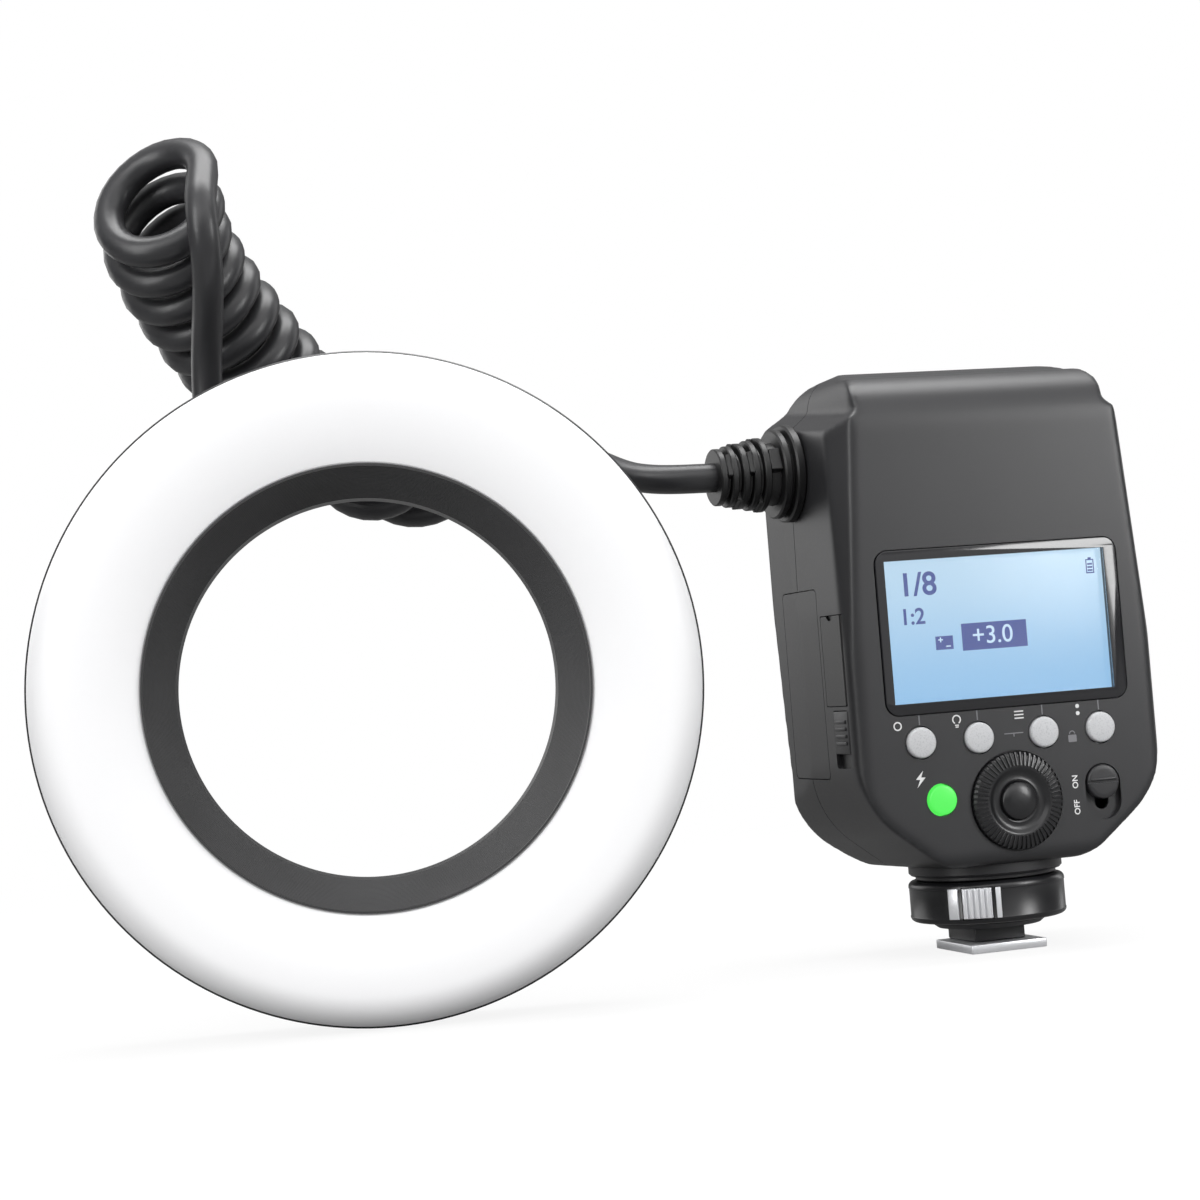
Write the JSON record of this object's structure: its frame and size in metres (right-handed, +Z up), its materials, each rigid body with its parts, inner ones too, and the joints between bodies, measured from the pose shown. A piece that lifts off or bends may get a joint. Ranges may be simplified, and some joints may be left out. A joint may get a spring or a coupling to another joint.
{
  "type": "macro ring flash",
  "caption": "Ring-shaped macro flash head with a frosted diffuser on a curly cord, and its hot-shoe controller with display, dial and buttons.",
  "frame": {"origin": "centre of the hot-shoe foot plate's underside, on the surface it stands on", "axes": "+X to the user's right, +Y away from the user who reads the display, +Z up"},
  "size_m": [0.2494, 0.1037, 0.1902],
  "materials": {
    "black_plastic": "satin charcoal moulding",
    "black_rubber": "smooth matt rubber",
    "dark_frame": "dark glossy frame",
    "diffuser": "frosted white",
    "clear_glass": "clear",
    "screen": "lit pale blue",
    "grey_button": "speckled light grey",
    "green_button": "lit green",
    "bare_steel": "bright",
    "dark_steel": "blackened",
    "reflector": "bright",
    "gold": "gilt",
    "board": "green board",
    "tube_glass": "clear",
    "lamp": "pale yellow",
    "winding": "amber tape"
  },
  "bodies": {
    "controller": {"rear_cover": "black_plastic", "front_cover": "black_plastic", "display_bezel": "dark_frame", "display_glass": "clear_glass", "display_panel": "screen", "keypad_membrane": "grey_button", "dial_encoder": "dark_steel", "switch_body": "dark_steel", "main_circuit_board": "board", "flash_capacitor": "black_plastic", "charge_transformer": "winding", "battery_bay": "black_plastic", "battery_contacts": "gold", "port_socket": "dark_steel", "body_cable_gland": "black_rubber", "body_screws": "dark_steel", "neck_ring": "black_plastic", "shoe_base": "black_plastic", "shoe_plate": "bare_steel", "lock_pin_spring": "bare_steel", "contact_pins": "gold", "cord_body_lead": "black_rubber", "cord_curls": "black_rubber"},
    "ring_head": {"ring_rear_housing": "black_plastic", "ring_bore_sleeve": "black_plastic", "ring_diffuser": "diffuser", "reflector_right": "reflector", "reflector_left": "reflector", "flash_tube_right": "tube_glass", "flash_tube_left": "tube_glass", "ring_circuit_board": "board", "modelling_lamps": "lamp", "latch_pins": "dark_steel", "latch_springs": "bare_steel", "ring_cable_gland": "black_rubber", "ring_screws": "dark_steel", "cord_head_lead": "black_rubber"},
    "lens_latch_right": {"lens_latch_right": "black_plastic"},
    "lens_latch_left": {"lens_latch_left": "black_plastic"},
    "mode_button": {"mode_button": "grey_button"},
    "lamp_button": {"lamp_button": "grey_button"},
    "menu_button": {"menu_button": "grey_button"},
    "ratio_button": {"ratio_button": "grey_button"},
    "test_button": {"test_button": "green_button"},
    "set_button": {"set_button": "black_plastic"},
    "control_dial": {"control_dial": "black_plastic"},
    "power_switch": {"power_switch": "black_plastic"},
    "battery": {"battery_pack": "black_plastic"},
    "battery_latch": {"battery_latch": "black_plastic"},
    "port_cover": {"port_cover": "black_rubber"},
    "collar": {"lock_collar": "black_plastic", "lock_trim": "bare_steel"},
    "lock_tab": {"lock_tab": "bare_steel"},
    "lock_pin": {"lock_pin": "bare_steel"}
  },
  "joints": [
    {"name": "head_pull", "type": "slide", "parent": "controller", "child": "ring_head", "axis": [-1, 0, 0], "range_m": [0, 0.12], "stiffness_N_per_m": 20, "deforming": ["cord_curls"]},
    {"name": "mode_press", "type": "slide", "parent": "controller", "child": "mode_button", "axis": [0, 1, 0], "range_m": [0, 0.0008], "stiffness_N_per_m": 800},
    {"name": "lamp_press", "type": "slide", "parent": "controller", "child": "lamp_button", "axis": [0, 1, 0], "range_m": [0, 0.0008], "stiffness_N_per_m": 800},
    {"name": "menu_press", "type": "slide", "parent": "controller", "child": "menu_button", "axis": [0, 1, 0], "range_m": [0, 0.0008], "stiffness_N_per_m": 800},
    {"name": "ratio_press", "type": "slide", "parent": "controller", "child": "ratio_button", "axis": [0, 1, 0], "range_m": [0, 0.0008], "stiffness_N_per_m": 800},
    {"name": "test_press", "type": "slide", "parent": "controller", "child": "test_button", "axis": [0, 1, 0], "range_m": [0, 0.0008], "stiffness_N_per_m": 800},
    {"name": "set_press", "type": "slide", "parent": "controller", "child": "set_button", "axis": [0, 1, 0], "range_m": [0, 0.0008], "stiffness_N_per_m": 800},
    {"name": "dial_turn", "type": "hinge", "parent": "controller", "child": "control_dial", "pos_m": [0, -0.021, 0.034], "axis": [0, -1, 0], "continuous": true},
    {"name": "power_slide", "type": "slide", "parent": "controller", "child": "power_switch", "axis": [0, 0, -1], "range_m": [0, 0.0044]},
    {"name": "battery_slide", "type": "slide", "parent": "controller", "child": "battery", "axis": [-1, 0, 0], "range_m": [0, 0.05]},
    {"name": "battery_latch_slide", "type": "slide", "parent": "controller", "child": "battery_latch", "axis": [0, 0, -1], "range_m": [0, 0.003], "stiffness_N_per_m": 400},
    {"name": "port_cover_hinge", "type": "hinge", "parent": "controller", "child": "port_cover", "pos_m": [-0.0363, -0.0158, 0.068], "axis": [0, 0, 1], "range_deg": [0, 100]},
    {"name": "collar_turn", "type": "hinge", "parent": "controller", "child": "collar", "pos_m": [0, 0, 0.0117], "axis": [0, 0, 1], "range_deg": [0, 35]},
    {"name": "lock_pin_slide", "type": "slide", "parent": "controller", "child": "lock_pin", "axis": [0, 0, -1], "range_m": [0, 0.0015]},
    {"name": "tab_press", "type": "slide", "parent": "collar", "child": "lock_tab", "axis": [0.5299, 0.848, 0], "range_m": [0, 0.001], "stiffness_N_per_m": 800},
    {"name": "lens_latch_right_press", "type": "hinge", "parent": "ring_head", "child": "lens_latch_right", "pos_m": [-0.08309, -0.0123, 0.07], "axis": [-0.1977, -0.9803, 0], "range_deg": [0, 8], "stiffness_Nm_per_rad": 0.35},
    {"name": "lens_latch_left_press", "type": "hinge", "parent": "ring_head", "child": "lens_latch_left", "pos_m": [-0.1968, 0.01063, 0.07], "axis": [0.1977, 0.9803, 0], "range_deg": [0, 8], "stiffness_Nm_per_rad": 0.35}
  ],
  "couplings": [
    {"joint": "lock_pin_slide", "follows": "collar_turn", "m_per_rad": 0.00245}
  ]
}
